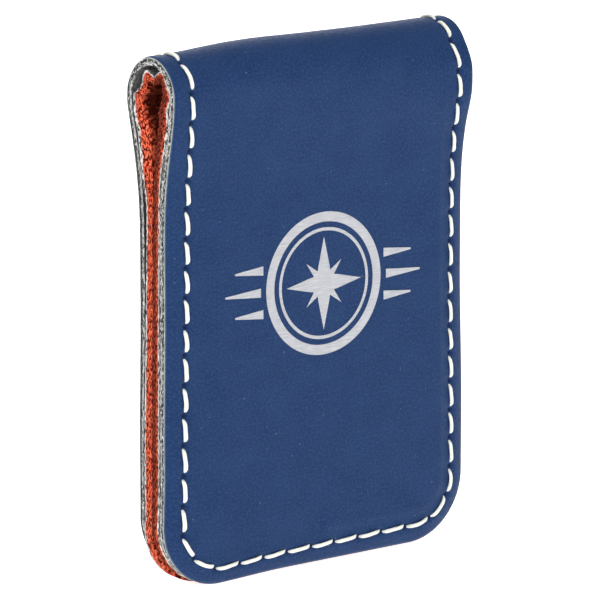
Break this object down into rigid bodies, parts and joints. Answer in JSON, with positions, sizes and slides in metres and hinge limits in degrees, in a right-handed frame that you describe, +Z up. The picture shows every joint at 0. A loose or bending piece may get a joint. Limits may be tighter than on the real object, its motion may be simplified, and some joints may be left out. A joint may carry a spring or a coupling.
{
  "type": "money clip",
  "caption": "Folding magnetic money clip: a stitched leatherette strap with a suede lining, folded over into two legs that hold banknotes and cards between them.",
  "frame": {"origin": "middle of the bottom edge, midway between the two legs, at the level the clip stands on", "axes": "+Z up towards the fold, X along the fold, -Y out of the front leg, +Y out of the rear leg"},
  "size_m": [0.0444, 0.01, 0.0637],
  "materials": {
    "cover": "satin navy leatherette, very fine grain, layered pale and black cut edge",
    "lining": "orange-red suede nap on a grey backing",
    "thread": "thick ivory polyester thread",
    "board": "stiff fibre board",
    "magnet": "nickel-plated block magnet"
  },
  "bodies": {
    "rear_leg": {"rear_leg_cover": "cover", "rear_leg_lining": "lining", "rear_leg_needle_thread": "thread", "rear_leg_bobbin_thread": "thread", "rear_stiffener_board": "board", "rear_magnet_left": "magnet", "rear_magnet_right": "magnet"},
    "fold_1": {"fold_1_cover": "cover", "fold_1_lining": "lining", "fold_1_needle_stitch_left": "thread", "fold_1_needle_stitch_right": "thread", "fold_1_bobbin_stitch_left": "thread", "fold_1_bobbin_stitch_right": "thread"},
    "fold_2": {"fold_2_cover": "cover", "fold_2_lining": "lining", "fold_2_needle_stitch_left": "thread", "fold_2_needle_stitch_right": "thread", "fold_2_bobbin_stitch_left": "thread", "fold_2_bobbin_stitch_right": "thread"},
    "front_leg": {"front_leg_cover": "cover", "front_leg_lining": "lining", "front_leg_needle_thread": "thread", "front_leg_bobbin_thread": "thread", "front_stiffener_board": "board", "front_magnet_left": "magnet", "front_magnet_right": "magnet"}
  },
  "joints": [
    {"name": "fold_hinge_1", "type": "hinge", "parent": "rear_leg", "child": "fold_1", "pos_m": [0, 0.00385, 0.06114], "axis": [-1, 0, 0], "range_deg": [0, 60], "stiffness_Nm_per_rad": 0.004, "springref_deg": -20.05},
    {"name": "fold_hinge_2", "type": "hinge", "parent": "fold_1", "child": "fold_2", "pos_m": [0, 0, 0.0635], "axis": [-1, 0, 0], "range_deg": [0, 60], "stiffness_Nm_per_rad": 0.004, "springref_deg": -20.05},
    {"name": "fold_hinge_3", "type": "hinge", "parent": "fold_2", "child": "front_leg", "pos_m": [0, -0.00385, 0.06114], "axis": [-1, 0, 0], "range_deg": [0, 60], "stiffness_Nm_per_rad": 0.004, "springref_deg": -20.05}
  ],
  "couplings": [
    {"joint": "fold_hinge_2", "follows": "fold_hinge_1", "ratio": 1},
    {"joint": "fold_hinge_3", "follows": "fold_hinge_1", "ratio": 1}
  ]
}
